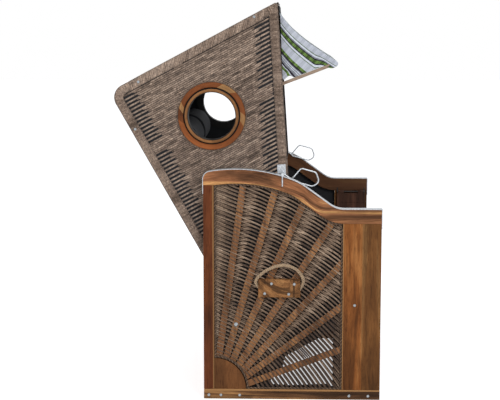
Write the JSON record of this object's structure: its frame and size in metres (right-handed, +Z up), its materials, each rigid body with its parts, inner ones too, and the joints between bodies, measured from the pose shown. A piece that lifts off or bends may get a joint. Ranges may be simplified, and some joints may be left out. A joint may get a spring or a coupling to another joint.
{
  "type": "hooded beach chair",
  "caption": "Wicker beach chair for two with wooden side frames, a reclining hood with portholes and a plaid awning, pull-out footrests and folding side tables",
  "frame": {"origin": "middle of the bottom of the bounding box, on the ground", "axes": "+X the way the sitter faces, +Y the sitter's left, +Z up"},
  "size_m": [1.1795, 1.218, 1.7593],
  "materials": {
    "frame_wood": "satin",
    "weave": "matte",
    "hood_wood": "matte",
    "ring_wood": "satin",
    "lining": "matte",
    "cushion_cloth": "matte",
    "awning_cloth": "matte",
    "galvanised": "satin",
    "rope": "matte"
  },
  "bodies": {
    "basket": {"cross_rails": "frame_wood", "footrest_runners": "frame_wood", "frame_bolts": "galvanised", "front_stile_left": "frame_wood", "front_stile_right": "frame_wood", "handle_block_left": "frame_wood", "handle_block_right": "frame_wood", "pivot_bolts": "galvanised", "pivot_posts": "frame_wood", "rail_strips": "galvanised", "rear_panel": "frame_wood", "rear_stile_left": "frame_wood", "rear_stile_right": "frame_wood", "rope_handle_left": "rope", "rope_handle_right": "rope", "seat_apron": "frame_wood", "seat_board": "frame_wood", "seat_cushion_left": "cushion_cloth", "seat_cushion_right": "cushion_cloth", "side_linings": "lining", "side_weave_left": "weave", "side_weave_right": "weave", "skid_left": "frame_wood", "skid_right": "frame_wood", "sun_disc_left": "frame_wood", "sun_disc_right": "frame_wood", "sun_rays_left": "weave", "sun_rays_right": "weave", "table_hinges": "galvanised", "top_rail_left": "frame_wood", "top_rail_right": "frame_wood"},
    "hood": {"hood_side_left": "hood_wood", "hood_side_right": "hood_wood", "hood_back": "hood_wood", "hood_roof": "hood_wood", "hood_linings": "lining", "porthole_ring_left": "ring_wood", "porthole_ring_right": "ring_wood", "porthole_sleeves": "ring_wood", "back_cushion_left": "cushion_cloth", "back_cushion_right": "cushion_cloth", "neck_roll_left": "cushion_cloth", "neck_roll_right": "cushion_cloth", "latch_plates": "galvanised", "hood_screws": "galvanised"},
    "footrest_left": {"footrest_board_left": "frame_wood", "footrest_front_left": "frame_wood", "footrest_pad_left": "cushion_cloth"},
    "footrest_right": {"footrest_board_right": "frame_wood", "footrest_front_right": "frame_wood", "footrest_pad_right": "cushion_cloth"},
    "side_table_left": {"side_table_left": "frame_wood"},
    "side_table_right": {"side_table_right": "frame_wood"},
    "latch_bail_left": {"latch_bail_left": "galvanised"},
    "latch_bail_right": {"latch_bail_right": "galvanised"},
    "awning": {"awning_bow": "frame_wood", "awning_cloth": "awning_cloth"}
  },
  "joints": [
    {"name": "hood_recline", "type": "hinge", "parent": "basket", "child": "hood", "pos_m": [-0.05419, 0, 0.34], "axis": [0, 1, 0], "range_deg": [-26, 20]},
    {"name": "awning_fold", "type": "hinge", "parent": "hood", "child": "awning", "pos_m": [0.13825, 0, 1.39998], "axis": [0, -1, 0], "range_deg": [0, 70], "deforming": ["awning_cloth"]},
    {"name": "footrest_left_slide", "type": "slide", "parent": "basket", "child": "footrest_left", "axis": [1, 0, 0], "range_m": [0, 0.38]},
    {"name": "side_table_left_hinge", "type": "hinge", "parent": "basket", "child": "side_table_left", "pos_m": [0.50231, 0.5305, 0.792], "axis": [-1, 0, 0], "range_deg": [0, 90]},
    {"name": "latch_bail_left_hinge", "type": "hinge", "parent": "hood", "child": "latch_bail_left", "pos_m": [0.14984, 0.56, 1.01395], "axis": [0, -1, 0], "range_deg": [0, 60]},
    {"name": "footrest_right_slide", "type": "slide", "parent": "basket", "child": "footrest_right", "axis": [1, 0, 0], "range_m": [0, 0.38]},
    {"name": "side_table_right_hinge", "type": "hinge", "parent": "basket", "child": "side_table_right", "pos_m": [0.50231, -0.5305, 0.792], "axis": [1, 0, 0], "range_deg": [0, 90]},
    {"name": "latch_bail_right_hinge", "type": "hinge", "parent": "hood", "child": "latch_bail_right", "pos_m": [0.14984, -0.56, 1.01395], "axis": [0, -1, 0], "range_deg": [0, 60]}
  ]
}
